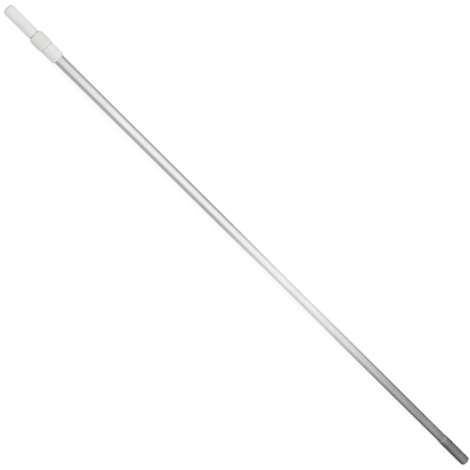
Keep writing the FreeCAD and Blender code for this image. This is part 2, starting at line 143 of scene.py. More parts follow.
class NodeSheet:
    """Thin wrapper round a node tree that makes and links nodes in few words."""

    def __init__(self, tree: bpy.types.NodeTree) -> None:
        """Args:
            tree: the shader or geometry tree to fill.
        """
        self.tree = tree

    def add(self, kind: str, **values: Any) -> bpy.types.Node:
        """Makes a node.

        Args:
            kind: Blender's name of the node type.
            values: attributes of the node, such as operation="ADD".

        Returns:
            The new node.
        """
        node = self.tree.nodes.new(kind)
        for name, value in values.items():
            setattr(node, name, value)
        return node

    def feed(self, socket: Socket, value: Any) -> None:
        """Links an output to a socket, or sets the socket's own value.

        Args:
            socket: the input to fill.
            value: an output socket, or a plain number or vector.
        """
        if isinstance(value, Socket):
            self.tree.links.new(value, socket)
        else:
            socket.default_value = value

    def math(self, operation: str, *inputs: Any, clamp: bool = False) -> Socket:
        """Makes a Math node.

        Args:
            operation: Blender's name of the operation.
            inputs: one to three numbers or outputs.
            clamp: limits the result to 0 to 1.

        Returns:
            The result's socket.
        """
        node = self.add("ShaderNodeMath", operation=operation, use_clamp=clamp)
        for socket, value in zip(node.inputs, inputs):
            self.feed(socket, value)
        return node.outputs[0]

    def times(self, one: Any, other: Any) -> Socket:
        """Returns the product of two numbers or outputs."""
        return self.math("MULTIPLY", one, other)

    def plus(self, one: Any, other: Any) -> Socket:
        """Returns the sum of two numbers or outputs."""
        return self.math("ADD", one, other)

    def less(self, one: Any, other: Any) -> Socket:
        """Returns one number or output less the other."""
        return self.math("SUBTRACT", one, other)

    def blend(self, factor: Any, start: Any, end: Any) -> Socket:
        """Mixes two numbers.

        Args:
            factor: 0 for start, 1 for end.
            start: a number or output.
            end: a number or output.

        Returns:
            The result's socket.
        """
        node = self.add("ShaderNodeMix", data_type="FLOAT")
        for index, value in ((0, factor), (2, start), (3, end)):
            self.feed(node.inputs[index], value)
        return node.outputs[0]

    def ramp(
        self, value: Any, low: Any, high: Any, to_low: Any = 0.0, to_high: Any = 1.0, smooth: bool = False
    ) -> Socket:
        """Maps one range of numbers onto another, clamped.

        Args:
            value: the number or output to map.
            low: the value that gives to_low.
            high: the value that gives to_high.
            to_low: the result at low.
            to_high: the result at high.
            smooth: eases both ends.

        Returns:
            The mapped socket.
        """
        kind = "SMOOTHSTEP" if smooth else "LINEAR"
        node = self.add("ShaderNodeMapRange", interpolation_type=kind, clamp=True)
        for socket, item in zip(node.inputs, (value, low, high, to_low, to_high)):
            self.feed(socket, item)
        return node.outputs[0]


# -------------------- finishes


class FinishSheet(NodeSheet):
    """A material's node tree with a Principled shader, and the patterns that finishes share."""

    def __init__(self, name: str, colour: Sequence[float], metallic: float, roughness: float) -> None:
        """Args:
            name: the material's name.
            colour: its mean linear colour.
            metallic: 0 for plastic, 1 for metal.
            roughness: its mean roughness.
        """
        self.material = bpy.data.materials.new(name)
        self.material.use_nodes = True
        super().__init__(self.material.node_tree)
        self.tree.nodes.clear()
        output = self.add("ShaderNodeOutputMaterial")
        self.shader = self.add("ShaderNodeBsdfPrincipled")
        self.shader.inputs["Base Color"].default_value = (*colour, 1.0)
        self.shader.inputs["Metallic"].default_value = metallic
        self.shader.inputs["Roughness"].default_value = roughness
        self.tree.links.new(self.shader.outputs[0], output.inputs[0])
        self.place = self.add("ShaderNodeTexCoord").outputs["Object"]

    def noise(
        self, scale: Sequence[float], detail: float = 3.0, roughness: float = 0.5, distortion: float = 0.0
    ) -> Socket:
        """Makes a noise pattern in the object's own coordinates.

        Args:
            scale: cells per metre along X, Y and Z.
            detail: octaves of finer noise.
            roughness: weight of the finer octaves.
            distortion: how far the pattern is warped.

        Returns:
            The pattern, about 0.5 on average.
        """
        mapping = self.add("ShaderNodeMapping")
        mapping.inputs["Scale"].default_value = tuple(scale)
        self.feed(mapping.inputs["Vector"], self.place)
        node = self.add("ShaderNodeTexNoise")
        self.feed(node.inputs["Vector"], mapping.outputs[0])
        node.inputs["Scale"].default_value = 1.0
        node.inputs["Detail"].default_value = detail
        node.inputs["Roughness"].default_value = roughness
        node.inputs["Distortion"].default_value = distortion
        return node.outputs["Fac"]

    def tint(self, factor: Socket, under: Any, over: Colour) -> Socket:
        """Lays a colour over another where a pattern says.

        Args:
            factor: how much of the upper colour shows.
            under: the linear colour below, or a colour output.
            over: the linear colour on top.

        Returns:
            The colour.
        """
        node = self.add("ShaderNodeMix", data_type="RGBA")
        below = under if isinstance(under, Socket) else (*under, 1.0)
        for index, value in ((0, factor), (6, below), (7, (*over, 1.0))):
            self.feed(node.inputs[index], value)
        return node.outputs[2]

    def bump(self, height: Socket, depth: float, below: Any = None) -> Socket:
        """Turns a pattern into relief.

        Args:
            height: the pattern.
            depth: its height in metres.
            below: an earlier relief that this one adds to.

        Returns:
            The bent normal.
        """
        node = self.add("ShaderNodeBump")
        node.inputs["Strength"].default_value = 1.0
        node.inputs["Distance"].default_value = depth
        self.feed(node.inputs["Height"], height)
        if below is not None:
            self.feed(node.inputs["Normal"], below)
        return node.outputs[0]

    def cover(self, colour: Socket, rough: Socket, normal: Socket) -> Material:
        """Links the three patterns that every finish has.

        Args:
            colour: the colour over the surface.
            rough: the roughness over the surface.
            normal: the relief.

        Returns:
            The finished material.
        """
        for name, pattern in (("Base Color", colour), ("Roughness", rough), ("Normal", normal)):
            self.feed(self.shader.inputs[name], pattern)
        return self.material


@dataclass(frozen=True)
class AnodisedTube:
    """Satin aluminium tube: lengthwise drawing lines, soft clouding and faint handling marks."""

    name: str = "finish_anodised_tube"
    light: Colour = (0.868, 0.866, 0.864)
    dark: Colour = (0.748, 0.745, 0.743)
    rub: Colour = (0.60, 0.60, 0.60)
    roughness: float = 0.21
    line_depth: float = 10e-6

    def build(self) -> Material:
        """Returns the finished material."""
        sheet = FinishSheet(self.name, self.light, 1.0, self.roughness)
        lines = sheet.noise((3.0, 2600.0, 2600.0), detail=4.0, roughness=0.65)
        broad = sheet.noise((0.9, 240.0, 240.0), detail=2.0)
        cloud = sheet.noise((14.0, 38.0, 38.0), detail=4.0, roughness=0.6, distortion=0.4)
        mixed = sheet.plus(sheet.times(lines, 0.45), sheet.times(broad, 0.55))
        colour = sheet.tint(sheet.ramp(mixed, 0.36, 0.64), self.dark, self.light)
        scuffs = sheet.noise((42.0, 260.0, 260.0), detail=6.0, roughness=0.72, distortion=0.8)
        scuffs = sheet.ramp(scuffs, 0.64, 0.74, smooth=True)
        scuffs = sheet.times(scuffs, sheet.ramp(cloud, 0.46, 0.62))
        colour = sheet.tint(sheet.times(scuffs, 0.5), colour, self.rub)
        rough = sheet.ramp(mixed, 0.3, 0.7, self.roughness - 0.05, self.roughness + 0.06)
        rough = sheet.plus(rough, sheet.times(scuffs, 0.12))
        rough = sheet.plus(rough, sheet.ramp(cloud, 0.3, 0.7, -0.02, 0.03))
        normal = sheet.bump(lines, self.line_depth)
        normal = sheet.bump(scuffs, -self.line_depth, normal)
        return sheet.cover(colour, rough, normal)


@dataclass(frozen=True)
class PaintedShadeBore:
    """Inside of a tube, left raw from the drawing bench and dull; its near-black colour is painted shade,
    streaked and smeared lighter and darker.
    """

    name: str = "finish_tube_bore_painted_shade"
    # near-black: painted shade for the inside of the tube
    light: Colour = (0.11, 0.11, 0.11)
    dark: Colour = (0.05, 0.05, 0.05)
    roughness: float = 0.58

    def build(self) -> Material:
        """Returns the finished material."""
        sheet = FinishSheet(self.name, self.light, 1.0, self.roughness)
        streaks = sheet.noise((6.0, 900.0, 900.0), detail=4.0, roughness=0.65)
        smears = sheet.noise((60.0, 160.0, 160.0), detail=4.0, distortion=0.8)
        mixed = sheet.plus(sheet.times(streaks, 0.5), sheet.times(smears, 0.5))
        colour = sheet.tint(sheet.ramp(mixed, 0.35, 0.65), self.dark, self.light)
        rough = sheet.ramp(smears, 0.3, 0.7, self.roughness - 0.1, self.roughness + 0.1)
        return sheet.cover(colour, rough, sheet.bump(streaks, 12e-6))


@dataclass(frozen=True)
class WhiteMoulding:
    """Off-white moulded plastic: fine spark-eroded grain, faint flow marks, handling dirt specks and
    painted shade in the flute floors.
    """

    name: str = "finish_white_moulding"
    light: Colour = (0.80, 0.80, 0.795)
    dark: Colour = (0.735, 0.735, 0.725)
    # one colour for the dust specks and for the painted shade in the flute floors
    grime_and_flute_shade: Colour = (0.42, 0.41, 0.39)
    roughness: float = 0.46
    grain_depth: float = 18e-6
    refraction: float = 1.49

    def build(self) -> Material:
        """Returns the finished material."""
        sheet = FinishSheet(self.name, self.light, 0.0, self.roughness)
        grain = sheet.noise((1900.0, 1900.0, 1900.0), roughness=0.6)
        flow = sheet.noise((46.0, 88.0, 88.0), distortion=1.2)
        colour = sheet.tint(sheet.ramp(flow, 0.3, 0.7), self.dark, self.light)
        dust = sheet.noise((150.0, 210.0, 210.0), detail=6.0, roughness=0.75, distortion=0.5)
        specks = sheet.ramp(dust, 0.66, 0.76, smooth=True)
        colour = sheet.tint(sheet.times(specks, 0.28), colour, self.grime_and_flute_shade)
        # painted shade: the flute floors are darkened towards the dirt colour, most where they are deepest,
        # where shade falls
        hollow = sheet.add("ShaderNodeAttribute", attribute_name=HOLLOW).outputs["Fac"]
        deepest = sheet.math("POWER", hollow, 3.0)
        flute_shade = sheet.times(deepest, sheet.ramp(flow, 0.2, 0.6, 0.14, 0.3))
        colour = sheet.tint(flute_shade, colour, self.grime_and_flute_shade)
        rough = sheet.ramp(grain, 0.3, 0.7, self.roughness - 0.05, self.roughness + 0.07)
        rough = sheet.plus(rough, sheet.ramp(flow, 0.3, 0.7, -0.04, 0.04))
        normal = sheet.bump(grain, self.grain_depth)
        normal = sheet.bump(flow, self.grain_depth * 2.0, normal)
        sheet.shader.inputs["IOR"].default_value = self.refraction
        return sheet.cover(colour, rough, normal)


@dataclass(frozen=True)
class SmoothPlastic:
    """Plain turned or moulded plastic for the hidden bearings and plugs."""

    name: str
    light: Colour
    dark: Colour
    roughness: float = 0.38

    def build(self) -> Material:
        """Returns the finished material."""
        sheet = FinishSheet(self.name, self.light, 0.0, self.roughness)
        rings = sheet.noise((1500.0, 60.0, 60.0), roughness=0.6)
        cloud = sheet.noise((90.0, 90.0, 90.0))
        colour = sheet.tint(sheet.ramp(cloud, 0.3, 0.7), self.dark, self.light)
        rough = sheet.ramp(rings, 0.3, 0.7, self.roughness - 0.05, self.roughness + 0.08)
        return sheet.cover(colour, rough, sheet.bump(rings, 6e-6))


@dataclass(frozen=True)
class PlatedSteel:
    """Zinc-plated screw steel with a mottled film and bright rubbed spots."""

    name: str = "finish_screw_steel"
    light: Colour = (0.66, 0.67, 0.69)
    dark: Colour = (0.47, 0.48, 0.49)
    roughness: float = 0.34

    def build(self) -> Material:
        """Returns the finished material."""
        sheet = FinishSheet(self.name, self.light, 1.0, self.roughness)
        spangle = sheet.noise((900.0, 900.0, 900.0), detail=4.0, roughness=0.6)
        film = sheet.noise((260.0, 260.0, 260.0), detail=2.0)
        colour = sheet.tint(sheet.ramp(spangle, 0.35, 0.65), self.dark, self.light)
        rough = sheet.ramp(film, 0.3, 0.7, self.roughness - 0.08, self.roughness + 0.1)
        return sheet.cover(colour, rough, sheet.bump(spangle, 8e-6))


@dataclass(frozen=True)
class PaleFloor:
    """Pale light-table floor: it glows softly, so the pole throws hardly a shadow."""

    name: str = "stage_floor"
    light: Colour = (0.14, 0.14, 0.14)
    dark: Colour = (0.125, 0.125, 0.125)
    roughness: float = 0.9
    glow: float = 0.88

    def build(self) -> Material:
        """Returns the finished material."""
        sheet = FinishSheet(self.name, self.light, 0.0, self.roughness)
        cloud = sheet.noise((1.5, 1.5, 1.5), detail=2.0)
        sheet.feed(sheet.shader.inputs["Base Color"], sheet.tint(cloud, self.dark, self.light))
        sheet.shader.inputs["Emission Color"].default_value = (1.0, 1.0, 1.0, 1.0)
        sheet.shader.inputs["Emission Strength"].default_value = self.glow
        return sheet.material


# -------------------- geometry trees


class LatheTree(NodeSheet):
    """Geometry tree that sweeps a half outline round the pole's axis, then may cut flutes in it.

    The outline is the curve that the modifier sits on: its X is the radius less LATHE_ORIGIN_R and
    its Y runs against the pole's axis.  A flute count of 0 leaves the surface round.
    """

    INPUTS = (
        ("Segments", "NodeSocketInt", 96),
        ("Flutes", "NodeSocketInt", 0),
        ("First Flute", "NodeSocketFloat", 0.0),
        ("Flute Depth", "NodeSocketFloat", 0.0),
        ("Crest Share", "NodeSocketFloat", 0.3),
        ("Flutes From", "NodeSocketFloat", 0.0),
        ("Flutes To", "NodeSocketFloat", 0.0),
        ("Run Out", "NodeSocketFloat", 0.001),
        ("Least Radius", "NodeSocketFloat", 0.0),
        ("Finish", "NodeSocketMaterial", None),
    )

    BOWL_POWER = 2.6   # how flat a flute's floor is

    def __init__(self) -> None:
        """Builds the tree once; every turned piece shares it."""
        super().__init__(bpy.data.node_groups.new("pole_lathe", "GeometryNodeTree"))
        face = self.tree.interface
        face.new_socket("Geometry", in_out="INPUT", socket_type="NodeSocketGeometry")
        self.ids: dict[str, str] = {}
        for name, kind, default in self.INPUTS:
            socket = face.new_socket(name, in_out="INPUT", socket_type=kind)
            if default is not None:
                socket.default_value = default
            self.ids[name] = socket.identifier
        face.new_socket("Geometry", in_out="OUTPUT", socket_type="NodeSocketGeometry")
        self.source = self.add("NodeGroupInput")
        self._lay_out()

    def _lay_out(self) -> None:
        """Links the sweep, the flutes and the material from input to output."""
        given = self.source.outputs
        circle = self.add("GeometryNodeCurvePrimitiveCircle")
        self.feed(circle.inputs["Resolution"], given["Segments"])
        circle.inputs["Radius"].default_value = LATHE_ORIGIN_R
        sweep = self.add("GeometryNodeCurveToMesh")
        self.feed(sweep.inputs["Curve"], circle.outputs["Curve"])
        self.feed(sweep.inputs["Profile Curve"], given["Geometry"])
        sweep.inputs["Fill Caps"].default_value = False
        place, hollow = self._flutes()
        flow = sweep.outputs[0]
        for kind, settings in (
            ("GeometryNodeTransform", {"Rotation": (0.0, math.radians(90.0), 0.0)}),
            ("GeometryNodeStoreNamedAttribute", {"Name": HOLLOW, "Value": hollow}),
            ("GeometryNodeSetPosition", {"Position": place}),
            ("GeometryNodeMergeByDistance", {"Distance": 1e-6}),
            ("GeometryNodeRealizeInstances", {}),
            ("GeometryNodeSetMaterial", {"Material": given["Finish"]}),
        ):
            node = self.add(kind)
            for name, value in {"Geometry": flow, **settings}.items():
                self.feed(node.inputs[name], value)
            flow = node.outputs[0]
        self.feed(self.add("NodeGroupOutput").inputs[0], flow)

    def _flutes(self) -> tuple[Socket, Socket]:
        """Returns each point's place, drawn inwards in a flute, and how deep in one it lies, 0 to 1."""
        given = self.source.outputs
        place = self.add("GeometryNodeInputPosition").outputs[0]
        split = self.add("ShaderNodeSeparateXYZ")
        self.feed(split.inputs[0], place)
        x, y, z = split.outputs
        radius = self.math("SQRT", self.plus(self.times(y, y), self.times(z, z)))
        turn = self.math("DIVIDE", self.math("ARCTAN2", y, z), math.tau)
        turn = self.less(turn, self.math("DIVIDE", given["First Flute"], 360.0))
        phase = self.math("FRACT", self.times(turn, given["Flutes"]))
        off_centre = self.times(self.math("MINIMUM", phase, self.less(1.0, phase)), 2.0)
        valley = self.math("DIVIDE", off_centre, self.less(1.0, given["Crest Share"]))
        bowl = self.math("SUBTRACT", 1.0, self.math("POWER", valley, self.BOWL_POWER), clamp=True)
        full_from = self.plus(given["Flutes From"], given["Run Out"])
        full_to = self.less(given["Flutes To"], given["Run Out"])
        start = self.ramp(x, given["Flutes From"], full_from, smooth=True)
        end = self.ramp(x, full_to, given["Flutes To"], 1.0, 0.0, smooth=True)
        outside = self.math("GREATER_THAN", radius, given["Least Radius"])
        in_use = self.math("GREATER_THAN", given["Flutes"], 0.5)
        depth = self.times(self.times(start, end), self.times(outside, in_use))
        hollow = self.times(depth, bowl)
        depth = self.times(hollow, given["Flute Depth"])
        floor_r = self.math("MAXIMUM", self.less(radius, depth), 0.0)
        scale = self.math("DIVIDE", floor_r, self.math("MAXIMUM", radius, 1e-9))
        joined = self.add("ShaderNodeCombineXYZ")
        self.feed(joined.inputs[0], x)
        self.feed(joined.inputs[1], self.times(y, scale))
        self.feed(joined.inputs[2], self.times(z, scale))
        return joined.outputs[0], hollow

    def turn(self, name: str, outline: Outline, finish: Material, **inputs: Any) -> Piece:
        """Turns a closed half outline into a plain mesh object.

        Args:
            name: the piece's name.
            outline: (x, radius) corners in metres, counter-clockwise seen with the grip to the left.
            finish: the material that the piece gets.
            inputs: values of the tree's inputs, with underscores for spaces.

        Returns:
            The piece, with its modifier removed and its normals outwards.
        """
        curve = bpy.data.curves.new(f"{name}_outline", "CURVE")
        curve.dimensions = "3D"
        spline = curve.splines.new("POLY")
        spline.points.add(len(outline) - 1)
        for point, (x, radius) in zip(spline.points, outline):
            point.co = (radius - LATHE_ORIGIN_R, -x, 0.0, 1.0)
        spline.use_cyclic_u = True
        host = put(f"{name}_host", curve)
        modifier = host.modifiers.new("lathe", "NODES")
        modifier.node_group = self.tree
        modifier[self.ids["Finish"]] = finish
        for key, value in inputs.items():
            modifier[self.ids[key.replace("_", " ").title()]] = value
        graph = bpy.context.evaluated_depsgraph_get()
        mesh = bpy.data.meshes.new_from_object(host.evaluated_get(graph), depsgraph=graph)
        host.modifiers.remove(modifier)
        bpy.data.objects.remove(host)
        bpy.data.curves.remove(curve)
        mesh.name = name
        piece = put(name, mesh)
        MeshCare.tidy(piece)
        return piece


class MeshCare:
    """Small repairs that every made mesh goes through."""

    @staticmethod
    def tidy(piece: Piece, crease_deg: float = 32.0) -> None:
        """Merges doubles, turns faces outwards and sets smooth shading with sharp creases.

        Args:
            piece: the mesh object.
            crease_deg: edges that bend more than this stay sharp.
        """
        mesh = piece.data
        work = bmesh.new()
        work.from_mesh(mesh)
        bmesh.ops.remove_doubles(work, verts=work.verts, dist=1e-6)
        bmesh.ops.dissolve_degenerate(work, edges=work.edges, dist=1e-7)
        bmesh.ops.recalc_face_normals(work, faces=work.faces)
        limit = math.radians(crease_deg)
        for face in work.faces:
            face.smooth = True
        for edge in work.edges:
            edge.smooth = not (edge.is_manifold and edge.calc_face_angle(0.0) > limit)
        work.to_mesh(mesh)
        work.free()
        mesh.update()

    @staticmethod
    def line_bore(piece: Piece, finish: Material) -> None:
        """Gives the faces that look towards the pole's axis a finish of their own.

        Args:
            piece: a turned mesh object on the pole's axis.
            finish: the material for the bore.
        """
        piece.data.materials.append(finish)
        for face in piece.data.polygons:
            outwards = Vector((0.0, face.center.y, face.center.z))
            if outwards.length > 0 and face.normal.dot(outwards.normalized()) < -0.9:
                face.material_index = 1

    @staticmethod
    def drill(piece: Piece, cutters: Iterable[Piece]) -> None:
        """Cuts holes with closed cutter objects, which are removed.

        Args:
            piece: the mesh object to drill.
            cutters: closed mesh objects.
        """
        for cutter in cutters:
            modifier = piece.modifiers.new("hole", "BOOLEAN")
            modifier.operation = "DIFFERENCE"
            modifier.solver = "EXACT"
            modifier.object = cutter
            graph = bpy.context.evaluated_depsgraph_get()
            mesh = bpy.data.meshes.new_from_object(piece.evaluated_get(graph), depsgraph=graph)
            piece.modifiers.remove(modifier)
            piece.data = mesh
            bpy.data.objects.remove(cutter)

    @staticmethod
    def cutter(x: float, low: float, high: float, low_r: float, high_r: float, sides: int = 48) -> Piece:
        """Makes a closed upright cutter, round or conical, in the pole's middle plane.

        Args:
            x: its station along the pole.
            low: height of its lower end.
            high: height of its upper end.
            low_r: radius at the lower end.
            high_r: radius at the upper end.
            sides: faces round it.

        Returns:
            The new object.
        """
        work = bmesh.new()
        bmesh.ops.create_cone(
            work, cap_ends=True, segments=sides, radius1=low_r, radius2=high_r, depth=high - low
        )
        work.transform(Matrix.Translation((x, 0.0, (low + high) / 2)))
        mesh = bpy.data.meshes.new("cutter")
        work.to_mesh(mesh)
        work.free()
        return put("cutter", mesh)


def rounded(
    corner: Sequence[float], before: Sequence[float], after: Sequence[float], radius: float, steps: int = 5
) -> Outline:
    """Replaces a corner of an outline by an arc.

    Args:
        corner: the (x, radius) corner.
        before: the point that the outline comes from.
        after: the point that it goes on to.
        radius: the arc's radius.
        steps: spans in the arc.

    Returns:
        The arc's points, in order.
    """
    here = Vector(corner)
    to_before = (Vector(before) - here).normalized()
    to_after = (Vector(after) - here).normalized()
    half = to_before.angle(to_after) / 2
    reach = radius / math.tan(half)
    centre = here + (to_before + to_after).normalized() * (radius / math.sin(half))
    first = here + to_before * reach - centre
    last = here + to_after * reach - centre
    sweep = first.angle_signed(last)
    points = []
    for step in range(steps + 1):
        spoke = first.copy()
        spoke.rotate(Matrix.Rotation(-sweep * step / steps, 2))
        points.append(tuple(centre + spoke))
    return points


def arc(x: float, radius: float, bend: float, turn: Pair, steps: int) -> Outline:
    """Returns an arc that bends from the pole's side towards the grip's end.

    Args:
        x: station of the arc's centre.
        radius: how far the centre lies from the pole's axis.
        bend: the arc's own radius.
        turn: first and last angle, from straight outwards towards the grip, in radians.
        steps: spans in the arc.
    """
    first, last = turn
    angles = [first + (last - first) * step / steps for step in range(steps + 1)]
    return [(x - bend * math.sin(angle), radius + bend * math.cos(angle)) for angle in angles]


def soften(corners: Sequence[Corner], steps: int = 5) -> Outline:
    """Rounds the corners of a closed outline.

    Args:
        corners: (x, radius, rounding) for each corner; a rounding of 0 keeps it sharp.
        steps: spans in each arc.

    Returns:
        The outline's points.
    """
    outline: Outline = []
    count = len(corners)
    for index, (x, radius, rounding) in enumerate(corners):
        if rounding <= 0.0:
            outline.append((x, radius))
            continue
        before = corners[index - 1][:2]
        after = corners[(index + 1) % count][:2]
        outline += rounded((x, radius), before, after, rounding, steps)
    return outline


def densify(outline: Outline, step: float, low: float, high: float) -> Outline:
    """Adds points on long straight runs between two stations.

    Args:
        outline: a closed outline.
        step: longest run left, in metres.
        low: first station that is refined.
        high: last station that is refined.

    Returns:
        The refined outline.
    """
    dense: Outline = []
    for index, (x0, r0) in enumerate(outline):
        x1, r1 = outline[(index + 1) % len(outline)]
        dense.append((x0, r0))
        inside = min(x0, x1) >= low and max(x0, x1) <= high
        pieces = max(1, math.ceil(math.hypot(x1 - x0, r1 - r0) / step)) if inside else 1
        for number in range(1, pieces):
            share = number / pieces
            dense.append((x0 + (x1 - x0) * share, r0 + (r1 - r0) * share))
    return dense


# -------------------- sub-assemblies


@dataclass
class Bench:
    """What every sub-assembly needs at hand: the frame, the lathe and the finishes."""

    frame: dict[str, Any]
    lathe: LatheTree
    finishes: dict[Slot, Material]
    bore: Material
    made: list[str] = field(default_factory=list)

    def ends(self, node: str) -> Pair:
        """Returns a frame node's lowest and highest station along the pole.

        Args:
            node: the frame node's name.
        """
        low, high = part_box(node)
        return low.x, high.x

    def reach(self, node: str) -> float:
        """Returns a frame node's outside radius.

        Args:
            node: the frame node's name.
        """
        low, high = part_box(node)
        return max(high.y, -low.y)

    def mount(self, name: str) -> dict[str, Any]:
        """Returns one of the record's mounts.

        Args:
            name: the mount's name.
        """
        return next(item for item in self.frame["record"]["mounts"] if item["name"] == name)

    def stand_in(self, piece: Piece, node: str, body: str) -> None:
        """Shows a made piece in place of a frame node.

        Args:
            piece: the made piece.
            node: the frame node that it stands for.
            body: the frame body that carries it.
        """
        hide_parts(node)
        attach(piece, body)
        self.made.append(piece.name)
        LOG.info("made %s for %s: %d faces", piece.name, node, len(piece.data.polygons))

    def dress(self, node: str, slot: Slot) -> None:
        """Gives a frame node its finish.

        Args:
            node: the frame node's name.
            slot: which finish.
        """
        piece = self.frame["nodes"][node]
        piece.data.materials.clear()
        piece.data.materials.append(self.finishes[slot])
        LOG.info("dressed %s in %s", node, slot.value)


@dataclass
class OuterPole:
    """Outer section: drawn tube with its swaged tool socket, ferrule, guide bush and screws."""

    tube_r: float = 14.3 * MM
    wall: float = 1.0 * MM
    socket_depth: float = 120.0 * MM
    swage: float = 2.0 * MM
    edge: float = 0.3 * MM
    swage_round: float = 1.2 * MM
    longest_run: float = 20.0 * MM
    segments: int = 192
    hole_sides: int = 64
    overshoot: float = 1.5   # how far a clip drill reaches, in socket radii

    def build(self, bench: Bench) -> None:
        """Makes the tube and dresses the frame's own pieces.

        Args:
            bench: the frame, lathe and finishes.
        """
        low, high = bench.ends("outer_tube")
        socket_r = bench.reach("outer_tube")
        piece = bench.lathe.turn(
            "outer_tube_drawn",
            self.outline(low, high, socket_r),
            bench.finishes[Slot.TUBE],
            segments=self.segments,
        )
        MeshCare.drill(piece, self.clip_cutters(bench, socket_r))
        MeshCare.tidy(piece)
        MeshCare.line_bore(piece, bench.bore)
        bench.stand_in(piece, "outer_tube", "outer_pole")
        bench.dress("ferrule", Slot.MOULDING)
        bench.dress("guide_bush", Slot.BEARING)
        bench.dress("ferrule_screws", Slot.STEEL)

    def outline(self, low: float, high: float, socket_r: float) -> Outline:
        """Returns the tube's half outline, with a flowing swage between tube and socket.

        Args:
            low: the lock end's station.
            high: the mouth's station.
            socket_r: outside radius of the socket.
        """
        top = high - self.socket_depth
        foot = top - self.swage
        flow = self.swage_round
        corners = [
            (low, self.tube_r, 0.0),
            (foot, self.tube_r, flow),
            (top, socket_r, flow),
            (high - self.edge, socket_r, 0.0),
            (high, socket_r - self.edge, 0.0),
            (high, socket_r - self.wall + self.edge, 0.0),
            (high - self.edge, socket_r - self.wall, 0.0),
            (top, socket_r - self.wall, flow),
            (foot, self.tube_r - self.wall, flow),
            (low, self.tube_r - self.wall, 0.0),
        ]
        return densify(soften(corners, steps=8), self.longest_run, foot, high)

    def clip_cutters(self, bench: Bench, socket_r: float) -> list[Piece]:
        """Returns a through drill for each clip hole.

        Args:
            bench: holds the record whose mount gives the holes' places.
            socket_r: outside radius of the socket.
        """
        mount = bench.mount("clip_holes")
        centre = mount["pos_m"][0]
        half = mount["dims"]["spacing_x_mm"] / 2 * MM
        hole_r = mount["dims"]["hole_r_mm"] * MM
        reach = socket_r * self.overshoot
        return [
            MeshCare.cutter(x, -reach, reach, hole_r, hole_r, self.hole_sides)
            for x in (centre - half, centre + half)
        ]


@dataclass
class TwistLock:
    """Ribbed lock nut with its collet."""

    flutes: int = 18
    first_flute: float = 6.0
    flute_depth: float = 0.6 * MM
    crest_share: float = 0.34
    run_out: float = 1.6 * MM
    band: float = 6.0 * MM
    nose: float = 9.8 * MM
    plain_nose: float = 0.7   # share of the nose's length without flutes
    nose_r: float = 15.6 * MM
    bore_r: float = 12.8 * MM
    chamber_r: float = 15.9 * MM
    shoulder: float = 9.2 * MM
    chamber: float = 2.0 * MM
    root_r: float = 17.75 * MM
    root_round: float = 0.2 * MM
    edge: float = 0.8 * MM
    fine_edge: float = 0.3 * MM
    nose_foot_round: float = 1.4 * MM
    nose_tip_round: float = 0.7 * MM
    longest_run: float = 0.5 * MM
    segments: int = 240

    def build(self, bench: Bench) -> None:
        """Makes the nut and dresses the collet.

        Args:
            bench: the frame, lathe and finishes.
        """
        front, foot = bench.ends("lock_nut")
        rib_r = bench.reach("lock_nut")
        piece = bench.lathe.turn(
            "lock_nut_ribbed",
            self.outline(front, foot, rib_r),
            bench.finishes[Slot.MOULDING],
            segments=self.segments,
            flutes=self.flutes,
            first_flute=self.first_flute,
            flute_depth=self.flute_depth,
            crest_share=self.crest_share,
            flutes_from=front + self.nose * self.plain_nose,
            flutes_to=foot - self.band,
            run_out=self.run_out,
            least_radius=rib_r - 2 * self.flute_depth,
        )
        bench.stand_in(piece, "lock_nut", "nut")
        bench.dress("collet", Slot.BEARING)

    def outline(self, front: float, foot: float, rib_r: float) -> Outline:
        """Returns the nut's half outline.

        Args:
            front: station of the conical nose's end.
            foot: station of the end at the ferrule.
            rib_r: radius over the ribs.
        """
        band_r = rib_r - self.flute_depth
        ribs_foot = foot - self.band
        seat = front + self.shoulder
        corners = [
            (foot, self.root_r, self.root_round),
            (foot, band_r, self.edge),
            (ribs_foot, band_r, self.fine_edge),
            (ribs_foot - self.flute_depth, rib_r, self.fine_edge),
            (front + self.nose, rib_r, self.nose_foot_round),
            (front, self.nose_r, self.nose_tip_round),
            (front, self.bore_r, self.fine_edge),
            (seat, self.bore_r, 0.0),
            (seat, self.chamber_r, 0.0),
            (seat + self.chamber, self.chamber_r, 0.0),
            (seat + self.chamber, self.root_r, 0.0),
        ]
        return densify(soften(corners), self.longest_run, front, foot)


